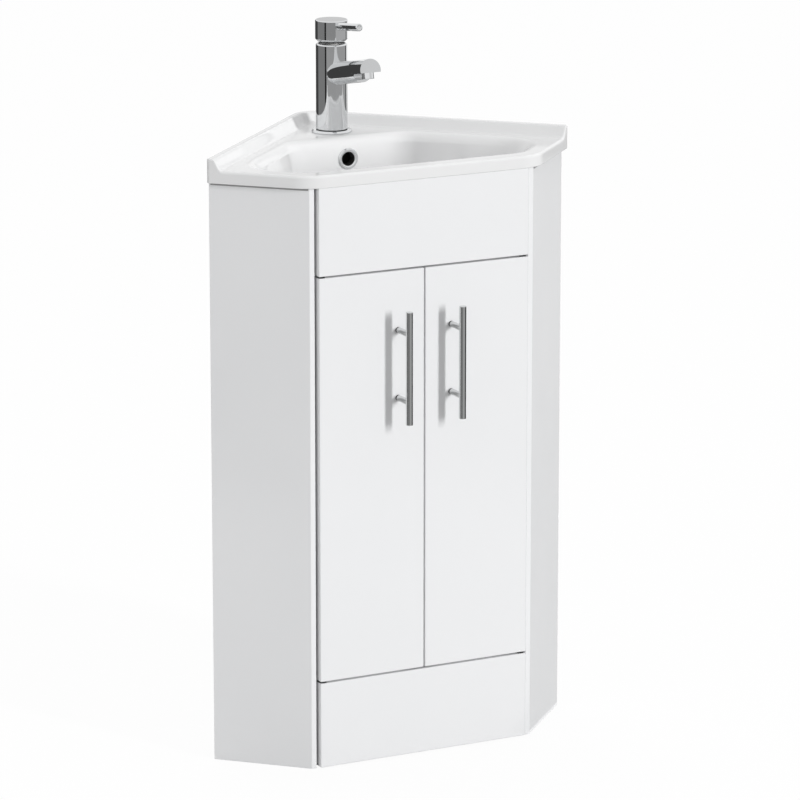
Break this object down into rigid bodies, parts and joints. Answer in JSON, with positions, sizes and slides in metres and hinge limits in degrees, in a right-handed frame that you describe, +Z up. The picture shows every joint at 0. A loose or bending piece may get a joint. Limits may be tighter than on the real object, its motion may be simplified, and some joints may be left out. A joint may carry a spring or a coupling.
{
  "type": "corner vanity unit",
  "caption": "Five-sided corner vanity cabinet with bar-handled doors under a white corner basin with upstands, lever tap, waste and trap.",
  "frame": {"origin": "middle of the bounding box in plan, on the floor; X = 0 is the mirror plane", "axes": "+Z up, -Y towards the doors and the user, +Y towards the room corner, +X to the right seen from the front"},
  "size_m": [0.561, 0.4243, 1.011],
  "materials": {
    "lacquer": "gloss white lacquer on board",
    "carcass": "satin white faced board",
    "timber": "plain unfinished wood",
    "basin": "gloss white",
    "chrome": "polished",
    "steel": "zinc plated",
    "brass": "plain turned",
    "white_plastic": "satin",
    "clear_pad": "soft translucent",
    "rubber": "black"
  },
  "bodies": {
    "cabinet": {"left_side_panel": "lacquer", "right_side_panel": "lacquer", "left_stile": "carcass", "right_stile": "carcass", "corner_blocks": "timber", "base_panel": "carcass", "plinth_panel": "lacquer", "fascia_panel": "lacquer", "front_rail": "carcass", "left_top_rail": "carcass", "right_top_rail": "carcass", "bottom_rails": "carcass", "corner_post": "carcass", "rail_dowels": "timber", "shelf": "carcass", "shelf_pins": "steel", "angle_brackets": "steel", "fascia_screws": "steel", "door_stop": "white_plastic", "door_bumpers": "clear_pad", "magnetic_catch": "white_plastic", "left_pivots": "steel", "right_pivots": "steel", "basin": "basin", "overflow_duct": "basin", "overflow_ring": "chrome", "waste_body": "chrome", "waste_seal": "rubber", "waste_backnut": "brass", "trap_nut": "white_plastic", "trap_body": "white_plastic", "trap_cup": "white_plastic", "outlet_nut": "white_plastic", "outlet_pipe": "white_plastic", "tap_base_ring": "chrome", "tap_column": "chrome", "spout": "chrome", "nozzle": "chrome", "cartridge": "white_plastic", "cartridge_nut": "brass", "tap_washer": "rubber", "tap_clamp": "steel", "tap_stud": "brass"},
    "left_door_leaf": {"left_door": "lacquer", "left_door_bushes": "white_plastic", "left_handle_bar": "chrome", "left_handle_posts": "chrome", "left_handle_screws": "steel", "left_strike": "steel"},
    "right_door_leaf": {"right_door": "lacquer", "right_door_bushes": "white_plastic", "right_handle_bar": "chrome", "right_handle_posts": "chrome", "right_handle_screws": "steel", "right_strike": "steel"},
    "tap_turret_body": {"tap_turret": "brass"},
    "tap_head_body": {"tap_head": "chrome", "tap_lever": "chrome", "tilt_pin": "brass"},
    "plug_body": {"waste_plug": "chrome"}
  },
  "joints": [
    {"name": "left_door_hinge", "type": "hinge", "parent": "cabinet", "child": "left_door_leaf", "pos_m": [-0.15644, -0.16715, 0.4137], "axis": [0, 0, -1], "range_deg": [0, 105]},
    {"name": "right_door_hinge", "type": "hinge", "parent": "cabinet", "child": "right_door_leaf", "pos_m": [0.15644, -0.16715, 0.4137], "axis": [0, 0, 1], "range_deg": [0, 105]},
    {"name": "tap_turn", "type": "hinge", "parent": "cabinet", "child": "tap_turret_body", "pos_m": [0, 0.11315, 0.989], "axis": [0, 0, 1], "range_deg": [-45, 45]},
    {"name": "tap_lift", "type": "hinge", "parent": "tap_turret_body", "child": "tap_head_body", "pos_m": [0, 0.11315, 0.989], "axis": [-1, 0, 0], "range_deg": [0, 18]},
    {"name": "plug_rise", "type": "slide", "parent": "cabinet", "child": "plug_body", "axis": [0, 0, 1], "range_m": [0, 0.008]}
  ]
}
